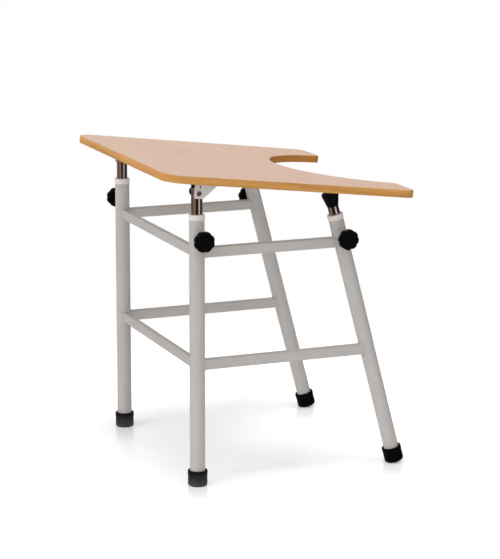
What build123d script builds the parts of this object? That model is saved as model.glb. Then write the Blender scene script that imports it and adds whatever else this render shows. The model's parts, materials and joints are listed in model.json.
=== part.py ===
from build123d import *
from math import asin, cos, radians, sin, sqrt, tan
import os

# Work table on four telescopic legs, with a cut-out desktop. All sizes in millimetres.
# X runs across the table (left is -X), the user sits on the -Y side, and Z is up from the floor.
# The rear legs stand upright. The front legs lean back as they rise.

# Driving sizes: stance of the frame
LEG_SPACING = 570.0          # left to right, between leg centres
STANCE_DEPTH = 546.0         # rear leg centre to front leg centre, on the floor
RAKE = 15.0                  # degrees that the front legs lean back
LEG_TOP = 688.5              # floor to the top of the bush, along the leg
RAIL_HIGH_DROP = 95.5        # upper rails' centre below the rear bush tops
RAIL_LOW = 310.0             # centre height of the lower rails

# Outer leg tube
LEG_OD = 38.0
LEG_WALL = 1.5

# Inner chromed tube
INNER_OD = 28.0
INNER_WALL = 1.5
INNER_HIDDEN = 110.0         # length inside the leg, from the bush top down
REAR_ABOVE_PIVOT = 13.5      # tube that stands above the pivot bolt
FRONT_SHOWN = 21.0           # chrome that shows below the rubber buffer

# Rails
SIDE_RAIL = 25.0             # square tube
END_RAIL_HEIGHT = 25.0
END_RAIL_WIDTH = 15.0
RAIL_WALL = 1.5
RAIL_CORNER = 3.0

# Guide bush at the top of each leg
BUSH_COLLAR_OD = 40.0
BUSH_COLLAR_HEIGHT = 14.0
BUSH_COLLAR_ROUND = 3.0
BUSH_SPIGOT_LENGTH = 33.0

# Guide plug at the lower end of each inner tube
PLUG_DISC_HEIGHT = 12.0
PLUG_SPIGOT_LENGTH = 18.0

# Rubber tip
TIP_OD = 50.0
TIP_HEIGHT = 40.0
TIP_FLOOR = 8.0
TIP_ROUND_LOW = 6.0
TIP_ROUND_HIGH = 3.0
TIP_SETTLE = 1.2             # a leaning tip flattens this much where it meets the floor

# Clamp knob, its screw and its welded boss
CLAMP_DROP = 60.0            # below the bush top, along the leg
SCREW_D = 8.0
BOSS_OD = 16.0
BOSS_LENGTH = 10.0
KNOB_STANDOFF = 5.0          # boss end to knob hub
KNOB_HUB_D = 24.0
KNOB_HUB_LENGTH = 9.0
KNOB_D = 52.0
KNOB_THICKNESS = 17.0
KNOB_LOBES = 8
KNOB_SCALLOP_R = 9.0
KNOB_SCALLOP_DEPTH = 2.0
KNOB_ROUND = 1.8
KNOB_SCREW_DEPTH = 16.0      # screw moulded into hub and head

# Desktop
BOARD_OVERHANG = 79.0        # side edge beyond the leg centres
BOARD_DEPTH = 666.0
BOARD_THICKNESS = 19.0
BOARD_REAR = 110.0           # rear edge behind the pivot, measured along the board
REAR_CORNER_R = 48.0
HORN_WIDTH = 128.0           # each arm beside the round cut-out
HORN_TIP_R = 28.0            # outer corner of each arm
HORN_CORNER_R = 17.0         # inner corner of each arm
CUTOUT_AHEAD = 6.0           # centre of the cut-out in front of the desktop's front edge
BAND = 1.5                   # edge band
LAMINATE = 0.8
TILT = 6.9                   # degrees, front edge lower than rear edge

# Rear bracket and pivot
PIVOT_RISE = 53.5            # pivot above the bush top
PIVOT_TO_BOARD = 29.3        # pivot to underside of the desktop, square to it
BRACKET_PLATE = 3.0
BRACKET_BACK = 12.0          # bracket behind the pivot
BRACKET_LOW = 13.0           # bracket below the pivot
BRACKET_NOSE = 11.5          # lower edge in front of the pivot
BRACKET_REACH = 50.0         # flange in front of the pivot
BRACKET_FLANGE = 36.0        # flange width
INDEX_HOLE_D = 5.0
INDEX_HOLE_RISE = 17.0
INDEX_HOLE_FORWARD = 1.5
PIVOT_D = 6.0
BOLT_HEAD_D = 10.5
BOLT_HEAD_HEIGHT = 3.3
BOLT_HEAD_ROUND = 1.5
WASHER_D = 13.0
WASHER_THICKNESS = 1.2
NUT_D = 24.0
NUT_HEIGHT = 14.0
NUT_ROUND = 2.5
NUT_SCREW_DEPTH = 10.0
CAP_HEIGHT = 8.0
CAP_ROUND = 2.5

# Wood screws that hold each bracket
WOOD_SCREW_D = 4.0
WOOD_SCREW_HEAD_D = 8.0
WOOD_SCREW_HEAD_HEIGHT = 2.6
WOOD_SCREW_BITE = 13.0       # length of thread in the board
WOOD_SCREW_STEP = 11.5
WOOD_SCREW_FIRST = 21.0      # first screw in front of the pivot
WOOD_SCREW_STAGGER = 7.0

# Front buffer
BUFFER_BASE_R = 14.4
BUFFER_TOP_R = 21.5
BUFFER_DOME_R = 40.0
BUFFER_RIM_HEIGHT = 6.0      # upright band under the dome
BUFFER_RIM_ROUND = 1.5
BUFFER_SPIGOT_LENGTH = 20.0
BUFFER_PLAY = 2.2            # open to the board, so that the coupled motion never presses in

# Fits
RUN_FIT = 0.06               # radial play of a turning or sliding fit
SEAT_GAP = 0.3               # between curved faces that would touch
OVERRUN = 5.0                # how far a cutting tool passes a face

# Worked out from the sizes above
LEG_R = LEG_OD / 2
LEG_BORE_R = LEG_R - LEG_WALL
INNER_R = INNER_OD / 2
INNER_BORE_R = INNER_R - INNER_WALL
SCREW_R = SCREW_D / 2
PIVOT_R = PIVOT_D / 2
LEG_X = LEG_SPACING / 2
TILT_COS = cos(radians(TILT))
TILT_SIN = sin(radians(TILT))
RAKE_COS = cos(radians(RAKE))
RAKE_SIN = sin(radians(RAKE))

RAIL_HIGH = LEG_TOP - RAIL_HIGH_DROP
PIVOT_Z = LEG_TOP + PIVOT_RISE
BOARD_WIDTH = LEG_SPACING + 2 * BOARD_OVERHANG
CUTOUT_R = BOARD_WIDTH / 2 - HORN_WIDTH
BOARD_FRONT = BOARD_DEPTH - BOARD_REAR
BOARD_TOP = PIVOT_TO_BOARD + BOARD_THICKNESS
# The lowest point of a leaning tip is on its rounded edge
TIP_EDGE_R = TIP_OD / 2 - TIP_ROUND_LOW
TIP_DIP = TIP_EDGE_R * RAKE_SIN - TIP_ROUND_LOW * RAKE_COS + TIP_ROUND_LOW
FRONT_TIP_START = (TIP_DIP - TIP_SETTLE) / RAKE_COS
TIP_REACH = TIP_EDGE_R * RAKE_COS + TIP_ROUND_LOW - (FRONT_TIP_START + TIP_ROUND_LOW) * RAKE_SIN

# The origin lies under the middle of the overall box, so the reach to both sides places the legs
REACH_REAR = BOARD_REAR * TILT_COS - PIVOT_TO_BOARD * TILT_SIN
BOARD_REACH = BOARD_FRONT * TILT_COS + BOARD_TOP * TILT_SIN
REACH_FRONT = max(BOARD_REACH, STANCE_DEPTH + TIP_REACH)
REAR_Y = (REACH_FRONT - REACH_REAR) / 2
FRONT_Y = REAR_Y - STANCE_DEPTH

# Buffer centre, where the dome is BUFFER_PLAY below the board
BUFFER_BASE = LEG_TOP + FRONT_SHOWN
FOOT_TO_BOARD = PIVOT_TO_BOARD + PIVOT_Z * TILT_COS - STANCE_DEPTH * TILT_SIN
BUFFER_CENTRE = (FOOT_TO_BOARD - BUFFER_DOME_R - BUFFER_PLAY) / cos(radians(RAKE + TILT))
BUFFER_RIM = BUFFER_CENTRE + sqrt(BUFFER_DOME_R**2 - BUFFER_TOP_R**2)

SIDES = {"left": -1, "right": 1}
ENDS = ("rear", "front")


def leg_place(side, end):
    """Frame whose Z runs up the leg from the floor, with X still across the table."""
    if end == "rear":
        return Pos(side * LEG_X, REAR_Y, 0)
    return Pos(side * LEG_X, FRONT_Y, 0) * Rot(-RAKE, 0, 0)


def outward(side):
    """Turn that points Z away from the table's middle."""
    return Rot(0, 90 * side, 0)


def board_place():
    """Frame of the desktop: origin on the pivot axis, Z square to the board."""
    return Pos(0, REAR_Y, PIVOT_Z) * Rot(TILT, 0, 0)


def rod(radius, low, high):
    """Round bar along Z."""
    return Pos(0, 0, low) * extrude(Circle(radius), high - low)


def tube(radius, wall, low, high):
    """Round tube along Z."""
    return Pos(0, 0, low) * extrude(Circle(radius) - Circle(radius - wall), high - low)


def leg_start(end):
    """Where the tip's underside lies along the leg."""
    return 0 if end == "rear" else FRONT_TIP_START


def outer_leg(side, end):
    """Leg tube with the hole that lets the clamp screw in."""
    body = tube(LEG_R, LEG_WALL, leg_start(end) + TIP_FLOOR, LEG_TOP - BUSH_COLLAR_HEIGHT)
    hole = Pos(0, 0, LEG_TOP - CLAMP_DROP) * outward(side) * rod(SCREW_R + RUN_FIT, 0, LEG_R + OVERRUN)
    return leg_place(side, end) * (body - hole)


def leg_cutter(side, end):
    """Solid bar in the place of a leg, to shape what is welded to it."""
    return leg_place(side, end) * rod(LEG_R, -OVERRUN, LEG_TOP)


def rubber_tip(side, end):
    """Moulded tip pushed over the leg's foot and flattened where it rests."""
    start = leg_start(end)
    body = rod(TIP_OD / 2, start, start + TIP_HEIGHT)
    body = fillet(body.edges().sort_by(Axis.Z)[0], TIP_ROUND_LOW)
    body = fillet(body.edges().sort_by(Axis.Z)[-1], TIP_ROUND_HIGH)
    body = body - rod(LEG_R, start + TIP_FLOOR, start + TIP_HEIGHT + OVERRUN)
    body = leg_place(side, end) * body
    below = Pos(side * LEG_X, FRONT_Y, -TIP_OD / 2) * Box(2 * TIP_OD, 2 * TIP_OD, TIP_OD)
    return body - below if end == "front" else body


def guide_bush(side, end):
    """Plastic bush: a collar on the leg's end and a spigot inside it."""
    seat = LEG_TOP - BUSH_COLLAR_HEIGHT
    collar = rod(BUSH_COLLAR_OD / 2, seat, LEG_TOP)
    collar = fillet(collar.edges().sort_by(Axis.Z)[-1], BUSH_COLLAR_ROUND)
    spigot = rod(LEG_BORE_R - RUN_FIT, seat - BUSH_SPIGOT_LENGTH, seat)
    bore = rod(INNER_R + RUN_FIT, seat - BUSH_SPIGOT_LENGTH - OVERRUN, LEG_TOP + OVERRUN)
    return leg_place(side, end) * (collar + spigot - bore)


def clamp_boss(side, end):
    """Threaded boss welded on the outer side of the leg, round the clamp hole."""
    at = leg_place(side, end) * Pos(0, 0, LEG_TOP - CLAMP_DROP) * outward(side)
    body = at * rod(BOSS_OD / 2, 0, LEG_R + BOSS_LENGTH)
    bore = at * rod(SCREW_R + RUN_FIT, -OVERRUN, LEG_R + BOSS_LENGTH + OVERRUN)
    return body - leg_cutter(side, end) - bore


def rail_section(height, width):
    """Hollow rolled section with round corners."""
    inner = RectangleRounded(height - 2 * RAIL_WALL, width - 2 * RAIL_WALL, RAIL_CORNER - RAIL_WALL)
    return RectangleRounded(height, width, RAIL_CORNER) - inner


def side_rail(side, height):
    """Square tube from the rear leg to the leaning front leg, coped to both."""
    front = FRONT_Y + height * tan(radians(RAKE))
    bar = extrude(rail_section(SIDE_RAIL, SIDE_RAIL), REAR_Y - front)
    bar = Pos(side * LEG_X, REAR_Y, height) * Rot(90, 0, 0) * bar
    return bar - leg_cutter(side, "rear") - leg_cutter(side, "front")


def rear_rail(height):
    """Flat tube between the two rear legs, coped to both."""
    bar = extrude(rail_section(END_RAIL_HEIGHT, END_RAIL_WIDTH), LEG_SPACING)
    bar = Pos(-LEG_X, REAR_Y, height) * Rot(0, 90, 0) * bar
    return bar - leg_cutter(-1, "rear") - leg_cutter(1, "rear")


def pivot_at(side):
    """Frame on the pivot axis at a rear leg, with Z pointing outwards."""
    return Pos(side * LEG_X, REAR_Y, PIVOT_Z) * outward(side)


def inner_tube(side, end):
    """Chromed tube that slides in the leg; the rear ones are drilled for the pivot bolt."""
    low = LEG_TOP - INNER_HIDDEN
    if end == "front":
        return leg_place(side, end) * tube(INNER_R, INNER_WALL, low, BUFFER_BASE)
    body = leg_place(side, end) * tube(INNER_R, INNER_WALL, low, PIVOT_Z + REAR_ABOVE_PIVOT)
    return body - pivot_at(side) * rod(PIVOT_R + RUN_FIT, -INNER_OD, INNER_OD)


def guide_plug(side, end):
    """Nylon plug that closes the inner tube's lower end and runs in the leg's bore."""
    low = LEG_TOP - INNER_HIDDEN
    disc = rod(LEG_BORE_R - RUN_FIT, low - PLUG_DISC_HEIGHT, low)
    return leg_place(side, end) * (disc + rod(INNER_BORE_R, low, low + PLUG_SPIGOT_LENGTH))


def tube_cap(side):
    """Black cap in the open upper end of a rear inner tube; its spigot ends above the pivot bolt."""
    seat = PIVOT_Z + REAR_ABOVE_PIVOT
    head = rod(INNER_R, seat, seat + CAP_HEIGHT)
    head = fillet(head.edges().sort_by(Axis.Z)[-1], CAP_ROUND)
    spigot = rod(INNER_BORE_R, PIVOT_Z + PIVOT_R + SEAT_GAP, seat)
    return leg_place(side, "rear") * (head + spigot)


def buffer(side):
    """Rubber buffer on a front inner tube: a widening cone, an upright band and a domed top."""
    rim = (BUFFER_TOP_R, BUFFER_RIM)
    middle_angle = asin(BUFFER_TOP_R / BUFFER_DOME_R) / 2
    middle = (BUFFER_DOME_R * sin(middle_angle), BUFFER_CENTRE + BUFFER_DOME_R * cos(middle_angle))
    top = (0, BUFFER_CENTRE + BUFFER_DOME_R)
    shoulder = (BUFFER_TOP_R, BUFFER_RIM - BUFFER_RIM_HEIGHT)
    outline = Polyline((0, BUFFER_BASE), (BUFFER_BASE_R, BUFFER_BASE), shoulder, rim)
    profile = make_face(outline + ThreePointArc(rim, middle, top) + Line(top, (0, BUFFER_BASE)))
    body = revolve(Plane.XZ * profile, Axis.Z)
    circles = body.edges().filter_by(GeomType.CIRCLE)
    widest = circles.filter_by(lambda e: abs(e.radius - BUFFER_TOP_R) < RUN_FIT)
    body = fillet(widest.sort_by(Axis.Z)[-1], BUFFER_RIM_ROUND)
    spigot = rod(INNER_BORE_R, BUFFER_BASE - BUFFER_SPIGOT_LENGTH, BUFFER_BASE)
    return leg_place(side, "front") * (body + spigot)


def clamp_at(side, end):
    """Frame on the clamp screw's axis, with its origin on the leg's axis."""
    return leg_place(side, end) * Pos(0, 0, LEG_TOP - CLAMP_DROP) * outward(side)


def knob_base():
    """Where the knob's hub begins, out from the leg's axis."""
    return LEG_R + BOSS_LENGTH + KNOB_STANDOFF


def clamp_screw(side, end):
    """Screw that presses on the inner tube; its other end is moulded into the knob."""
    return clamp_at(side, end) * rod(SCREW_R, INNER_R + SEAT_GAP, knob_base() + KNOB_SCREW_DEPTH)


def clamp_knob(side, end):
    """Lobed knob with a hub behind it."""
    head_low = knob_base() + KNOB_HUB_LENGTH
    outline = Circle(KNOB_D / 2)
    ring = KNOB_D / 2 + KNOB_SCALLOP_R - KNOB_SCALLOP_DEPTH
    outline -= PolarLocations(ring, KNOB_LOBES) * Circle(KNOB_SCALLOP_R)
    head = extrude(outline, KNOB_THICKNESS)
    head = chamfer(head.faces().sort_by(Axis.Z)[-1].edges(), KNOB_ROUND)
    head = chamfer(head.faces().sort_by(Axis.Z)[0].edges(), KNOB_ROUND)
    body = Pos(0, 0, head_low) * head + rod(KNOB_HUB_D / 2, knob_base(), head_low)
    body = body - rod(SCREW_R, knob_base() - OVERRUN, knob_base() + KNOB_SCREW_DEPTH)
    return clamp_at(side, end) * body


def cheek_offset():
    """Inner face of the bracket's cheek, out from the tube's axis."""
    return INNER_R + SEAT_GAP


def flange_middle():
    """Middle of the bracket's flange, out from the tube's axis."""
    return cheek_offset() + BRACKET_PLATE - BRACKET_FLANGE / 2


def wood_screw_places():
    """Screw centres on a bracket: out from the tube's axis, and in front of the pivot."""
    places = []
    for step, shift in enumerate((-1, 1, -1)):
        outside = flange_middle() + shift * WOOD_SCREW_STAGGER
        places.append((outside, WOOD_SCREW_FIRST + step * WOOD_SCREW_STEP))
    return places


def rear_bracket(side):
    """Folded plate: a three-cornered cheek beside the tube, a flange under the board."""
    cheek = Polyline(
        (BRACKET_BACK, PIVOT_TO_BOARD), (BRACKET_BACK, -BRACKET_LOW),
        (-BRACKET_NOSE, -BRACKET_LOW), (-BRACKET_REACH, PIVOT_TO_BOARD - BRACKET_PLATE),
        (-BRACKET_REACH, PIVOT_TO_BOARD), (BRACKET_BACK, PIVOT_TO_BOARD))
    cheek = extrude(Plane.YZ * make_face(cheek), BRACKET_PLATE)
    inner_face = side * (LEG_X + cheek_offset())
    cheek = Pos(inner_face if side > 0 else inner_face - BRACKET_PLATE, 0, 0) * cheek
    flange = Box(BRACKET_FLANGE, BRACKET_BACK + BRACKET_REACH, BRACKET_PLATE)
    middle_y = (BRACKET_BACK - BRACKET_REACH) / 2
    flange_x = side * (LEG_X + flange_middle())
    body = cheek + Pos(flange_x, middle_y, PIVOT_TO_BOARD - BRACKET_PLATE / 2) * flange
    across = Pos(side * LEG_X, 0, 0) * outward(side)
    body -= across * rod(PIVOT_R + RUN_FIT, 0, LEG_OD)
    body -= Pos(0, -INDEX_HOLE_FORWARD, INDEX_HOLE_RISE) * across * rod(INDEX_HOLE_D / 2, 0, LEG_OD)
    for outside, ahead in wood_screw_places():
        hole = rod(WOOD_SCREW_D / 2, 0, PIVOT_TO_BOARD + OVERRUN)
        body -= Pos(side * (LEG_X + outside), -ahead, 0) * hole
    return board_place() * body


def wood_screw():
    """Pan-head screw, with its head's seat at the origin."""
    head = rod(WOOD_SCREW_HEAD_D / 2, -WOOD_SCREW_HEAD_HEIGHT, 0)
    head = chamfer(head.edges().sort_by(Axis.Z)[0], WOOD_SCREW_HEAD_HEIGHT / 3)
    return head + rod(WOOD_SCREW_D / 2, 0, BRACKET_PLATE + WOOD_SCREW_BITE)


def wood_screws():
    """All bracket screws."""
    screws = []
    for side in SIDES.values():
        for outside, ahead in wood_screw_places():
            seat = Pos(side * (LEG_X + outside), -ahead, PIVOT_TO_BOARD - BRACKET_PLATE)
            screws.append(board_place() * seat * wood_screw())
    return Compound(children=screws)


def head_seat():
    """Outer face of the washer under the pivot bolt's head."""
    return cheek_offset() + BRACKET_PLATE + WASHER_THICKNESS


def pivot_bolt(side):
    """Bolt through the cheek and both walls of the tube."""
    head = rod(BOLT_HEAD_D / 2, head_seat(), head_seat() + BOLT_HEAD_HEIGHT)
    head = fillet(head.edges().sort_by(Axis.Z)[-1], BOLT_HEAD_ROUND)
    shank = rod(PIVOT_R, -(INNER_R + SEAT_GAP + NUT_SCREW_DEPTH), head_seat())
    return pivot_at(side) * (head + shank)


def pivot_washer(side):
    """Washer between the bolt's head and the cheek."""
    low = cheek_offset() + BRACKET_PLATE
    disc = rod(WASHER_D / 2, low, head_seat())
    return pivot_at(side) * (disc - rod(PIVOT_R, low - OVERRUN, head_seat() + OVERRUN))


def pivot_nut(side):
    """Black capped nut on the inner end of the pivot bolt."""
    near = -(INNER_R + SEAT_GAP)
    body = rod(NUT_D / 2, near - NUT_HEIGHT, near)
    body = fillet(body.edges().sort_by(Axis.Z)[0], NUT_ROUND)
    return pivot_at(side) * (body - rod(PIVOT_R, near - NUT_SCREW_DEPTH, near + OVERRUN))


def board_outline(inset):
    """Outline of the desktop, drawn in by inset: a rectangle with round corners and a round cut-out."""
    width = BOARD_WIDTH - 2 * inset
    rear = BOARD_REAR - inset
    front = inset - BOARD_FRONT
    sheet = Pos(0, (rear + front) / 2) * Rectangle(width, rear - front)
    sheet -= Pos(0, -BOARD_FRONT - CUTOUT_AHEAD) * Circle(CUTOUT_R + inset)
    sheet = fillet(sheet.vertices().filter_by(lambda v: v.Y > 0), REAR_CORNER_R - inset)
    tips = sheet.vertices().filter_by(lambda v: v.Y < 0 and abs(v.X) > width / 2 - HORN_TIP_R)
    sheet = fillet(tips, HORN_TIP_R - inset)
    near_front = sheet.vertices().filter_by(lambda v: abs(v.Y - front) < HORN_CORNER_R)
    mouth = near_front.filter_by(lambda v: abs(v.X) < CUTOUT_R + inset)
    return fillet(mouth, HORN_CORNER_R - inset)


def pilot_holes():
    """Bores that the bracket screws cut in the desktop."""
    holes = []
    for side in SIDES.values():
        for outside, ahead in wood_screw_places():
            bore = rod(WOOD_SCREW_D / 2, PIVOT_TO_BOARD - OVERRUN, PIVOT_TO_BOARD + WOOD_SCREW_BITE)
            holes.append(Pos(side * (LEG_X + outside), -ahead, 0) * bore)
    return holes


def layer(inset, low, high):
    """One layer of the desktop between two heights above the pivot."""
    body = Pos(0, 0, low) * extrude(board_outline(inset), high - low)
    for hole in pilot_holes():
        body -= hole
    return board_place() * body


def edge_band():
    """Band glued round the whole edge, as high as the finished board."""
    ring = board_outline(0) - board_outline(BAND)
    return board_place() * Pos(0, 0, PIVOT_TO_BOARD) * extrude(ring, BOARD_THICKNESS)


def desktop():
    """Core, two laminate sheets and the edge band."""
    core_low = PIVOT_TO_BOARD + LAMINATE
    core_high = BOARD_TOP - LAMINATE
    return {
        "desktop_core": layer(BAND, core_low, core_high),
        "desktop_top_laminate": layer(BAND, core_high, BOARD_TOP),
        "desktop_under_laminate": layer(BAND, PIVOT_TO_BOARD, core_low),
        "desktop_edge_band": edge_band(),
    }


def leg_pieces(name, side, end):
    """Everything that belongs to one leg, fixed, sliding and clamping."""
    return {
        f"leg_{end}_{name}": outer_leg(side, end),
        f"tip_{end}_{name}": rubber_tip(side, end),
        f"bush_{end}_{name}": guide_bush(side, end),
        f"boss_{end}_{name}": clamp_boss(side, end),
        f"inner_tube_{end}_{name}": inner_tube(side, end),
        f"guide_plug_{end}_{name}": guide_plug(side, end),
        f"clamp_screw_{end}_{name}": clamp_screw(side, end),
        f"clamp_knob_{end}_{name}": clamp_knob(side, end),
    }


def side_pieces(name, side):
    """Rails, pivot and bracket of one side."""
    return {
        f"side_rail_upper_{name}": side_rail(side, RAIL_HIGH),
        f"side_rail_lower_{name}": side_rail(side, RAIL_LOW),
        f"tube_cap_{name}": tube_cap(side),
        f"buffer_{name}": buffer(side),
        f"bracket_{name}": rear_bracket(side),
        f"pivot_bolt_{name}": pivot_bolt(side),
        f"pivot_nut_{name}": pivot_nut(side),
    }


def build_all():
    """Every node of the table by name."""
    nodes = {
        "rear_rail_upper": rear_rail(RAIL_HIGH),
        "rear_rail_lower": rear_rail(RAIL_LOW),
        "pivot_washers": Compound(children=[pivot_washer(side) for side in SIDES.values()]),
        "wood_screws": wood_screws(),
    }
    nodes.update(desktop())
    for name, side in SIDES.items():
        nodes.update(side_pieces(name, side))
        for end in ENDS:
            nodes.update(leg_pieces(name, side, end))
    return nodes


os.makedirs("parts", exist_ok=True)
for node, shape in build_all().items():
    export_step(shape, f"parts/{node}.step")
print("rear leg y", round(REAR_Y, 3), "pivot z", round(PIVOT_Z, 3), "front foot y", round(FRONT_Y, 3))
print("buffer centre", round(BUFFER_CENTRE, 3), "rim", round(BUFFER_RIM, 3), "base", round(BUFFER_BASE, 3))
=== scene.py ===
# %% [markdown]
# # A therapy work table, dressed for a photograph
#
# The table has a sloping beech desktop with a round cut-out for the user, on a welded tube frame
# with four telescopic legs. The measured solids come in as a fixed frame, in metres, with the floor
# at zero height. The lesson gives each solid its real finish, and replaces the moulded, turned and
# threaded pieces with finer surfaces worked out as arrays.

# %% Load the frame
import json
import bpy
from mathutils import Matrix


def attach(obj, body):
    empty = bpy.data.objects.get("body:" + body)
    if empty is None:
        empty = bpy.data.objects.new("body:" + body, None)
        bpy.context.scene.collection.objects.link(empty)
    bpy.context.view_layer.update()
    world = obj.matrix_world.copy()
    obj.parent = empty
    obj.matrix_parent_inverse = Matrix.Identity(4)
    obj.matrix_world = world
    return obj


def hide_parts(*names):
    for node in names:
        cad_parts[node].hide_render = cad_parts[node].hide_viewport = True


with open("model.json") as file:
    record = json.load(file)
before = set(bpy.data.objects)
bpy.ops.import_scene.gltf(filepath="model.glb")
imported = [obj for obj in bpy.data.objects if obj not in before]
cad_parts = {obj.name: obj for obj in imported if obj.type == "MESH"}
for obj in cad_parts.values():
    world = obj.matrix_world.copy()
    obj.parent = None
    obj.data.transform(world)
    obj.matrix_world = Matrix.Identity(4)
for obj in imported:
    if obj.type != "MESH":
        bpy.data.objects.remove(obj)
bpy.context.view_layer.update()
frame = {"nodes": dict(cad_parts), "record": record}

# %% [markdown]
# ## Sizes that the pieces share
#
# A maker works from one list of sizes, so that the knob fits its boss and the band fits the board.
# These are the frame's own sizes. Each leg gets a small set of axes: where it stands, the way
# across the table, the way forward, and the way up along the tube. The rear legs are upright and
# the front legs lean back by fifteen degrees, so one recipe serves all four.

# %% Shared sizes and the legs' axes
import bpy
import bmesh
import numpy as np
from math import cos, radians, sin, sqrt
from mathutils import Matrix, Vector

MM = 0.001
LEG_X, REAR_Y, FRONT_Y = 285.0, 231.033, -314.967
LEG_TOP, LEG_R, LEG_BORE_R, INNER_R, BORE_R = 688.5, 19.0, 17.5, 14.0, 12.5
CLAMP_DROP, HUB_START, SCREW_R, PIVOT_R = 60.0, 34.0, 4.0, 3.0
PIVOT_Z, PIVOT_TO_BOARD, BOARD_THICKNESS = 742.0, 29.3, 19.0
CHEEK, PLATE = INNER_R + 0.3, 3.0
TILT, RAKE = radians(6.9), radians(15.0)
SIDES = {"left": -1, "right": 1}
UP = np.array([0.0, 0.0, 1.0])
ACROSS = np.array([1.0, 0.0, 0.0])


def axes_of_leg(name, end):
    """Origin on the floor, then the directions across, forward and up along the tube."""
    lean = RAKE if end == "front" else 0.0
    origin = np.array([SIDES[name] * LEG_X, FRONT_Y if end == "front" else REAR_Y, 0.0])
    along = np.array([0.0, sin(lean), cos(lean)])
    return origin, ACROSS, np.cross(along, ACROSS), along


def clamp_axes(name, end):
    """Origin on the leg's axis at the clamp screw; the last direction points out from the table."""
    origin, across, _, along = axes_of_leg(name, end)
    out = SIDES[name] * across
    return origin + (LEG_TOP - CLAMP_DROP) * along, along, np.cross(out, along), out


BOARD_AXES = (np.array([0.0, REAR_Y, PIVOT_Z]), ACROSS,
              np.array([0.0, cos(TILT), sin(TILT)]), np.array([0.0, -sin(TILT), cos(TILT)]))
LEGS = [(name, end) for name in SIDES for end in ("rear", "front")]
print("legs", LEGS)

# %% [markdown]
# ## From an array of points to a mesh
#
# A turned or moulded piece is a surface with two parameters: one runs along its profile, the other
# round its axis. It could be spun with a modifier, but an array keeps the formula in view: every
# point is computed at once, and each square of four neighbours becomes a face. The sign of the
# enclosed volume shows whether the faces look outwards.

# %% Grid of points to mesh
def new_piece(name, points, quads):
    """Object whose mesh has these points, in millimetres, and these faces of four."""
    mesh = bpy.data.meshes.new(name)
    mesh.from_pydata((points.reshape(-1, 3) * MM).tolist(), [], quads.tolist())
    piece = bpy.data.objects.new(name, mesh)
    bpy.context.scene.collection.objects.link(piece)
    return piece


def cleaned(mesh, gap, crease, outward=False):
    """Merge points closer than gap metres, smooth all faces and keep edges over crease degrees
    sharp. Outward also turns every face out. Returns how many edges don't join two faces."""
    work = bmesh.new()
    work.from_mesh(mesh)
    bmesh.ops.remove_doubles(work, verts=work.verts, dist=gap)
    if outward:
        bmesh.ops.recalc_face_normals(work, faces=work.faces)
    open_edges = sum(len(edge.link_faces) != 2 for edge in work.edges)
    work.to_mesh(mesh)
    work.free()
    mesh.polygons.foreach_set("use_smooth", np.ones(len(mesh.polygons), bool))
    mesh.set_sharp_from_angle(angle=radians(crease))
    return open_edges


def surface(name, points, loop=False, uv=None, crease=32.0):
    """Closed mesh from points[part, row, column], in millimetres.

    Four neighbours make a face. Columns always close into a ring; loop closes the rows as well, and
    a row that shrinks to a point closes as a pole. The volume is the sum of p0 . (p1 x p2) / 6 over
    the triangles; where it is negative the faces are turned round. uv holds the distance travelled
    along the columns and along the rows, for a map."""
    if points.ndim == 3:
        points = points[None]
    parts, rows, cols = points.shape[:3]
    k, i, j = np.indices((parts, rows if loop else rows - 1, cols))
    def at(row, col):
        return (k * rows + row % rows) * cols + col % cols
    quads = np.stack([at(i, j), at(i, j + 1), at(i + 1, j + 1), at(i + 1, j)], -1).reshape(-1, 4)
    corner = points.reshape(-1, 3)[quads] * MM
    volume = sum(np.einsum("ij,ij->i", corner[:, 0], np.cross(corner[:, a], corner[:, a + 1])).sum()
                 for a in (1, 2)) / 6
    turn = slice(None, None, -1 if volume < 0 else 1)
    piece = new_piece(name, points, quads[:, turn])
    if uv:
        run, girth = uv
        u = np.stack([run[j], run[j + 1], run[j + 1], run[j]], -1).reshape(-1, 4)
        v = np.stack([girth[i], girth[i], girth[i + 1], girth[i + 1]], -1).reshape(-1, 4)
        layer = piece.data.uv_layers.new(name="unrolled")
        layer.data.foreach_set("uv", np.stack([u, v], -1)[:, turn].astype(np.float32).ravel())
    open_edges = cleaned(piece.data, 2e-8, crease)
    print(f"{name}: {len(piece.data.polygons)} faces, {open_edges} open edges, {abs(volume) * 1e6:.2f} cm3")
    return piece


def placed(local, axes):
    """World points: origin + x * first axis + y * second axis + z * third axis."""
    return axes[0] + local @ np.array(axes[1:])


# %% [markdown]
# ## Profiles with soft corners
#
# Nothing moulded or turned has a knife edge, and the small highlight along each rounded edge is
# what the eye reads as real. A profile is written as a few corners with a radius each, and this
# helper swaps every corner for an arc. The profile is then turned round an axis.

# %% Rounded profiles and turned surfaces
def unit(vectors):
    """Vectors of length one in the same directions."""
    return vectors / np.linalg.norm(vectors, axis=-1, keepdims=True)


def rounded(corners, steps=5):
    """Profile from rows of (radius, height, rounding).

    Each corner becomes an arc tangent to both its sides. With the corner's opening angle a, the arc
    starts rounding / tan(a / 2) away from it, and its centre lies rounding / sin(a / 2) along the
    bisector. Points on the arc are the turning average of its first and last spoke."""
    c = np.array(corners, float)
    pieces = [c[:1, :2]]
    for before, here, after in zip(c[:-2], c[1:-1], c[2:]):
        if here[2] <= 0:
            pieces.append(here[None, :2])
            continue
        u, v = unit((before - here)[:2]), unit((after - here)[:2])
        half = np.arccos(np.clip(u @ v, -1, 1)) / 2
        centre = here[:2] + unit(u + v) * here[2] / sin(half)
        first = here[:2] + u * here[2] / np.tan(half) - centre
        last = here[:2] + v * here[2] / np.tan(half) - centre
        sweep = np.pi - 2 * half
        s = np.linspace(0, 1, steps + 1)[:, None]
        pieces.append(centre + (np.sin((1 - s) * sweep) * first + np.sin(s * sweep) * last) / sin(sweep))
    pieces.append(c[-1:, :2])
    return np.concatenate(pieces)


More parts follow.
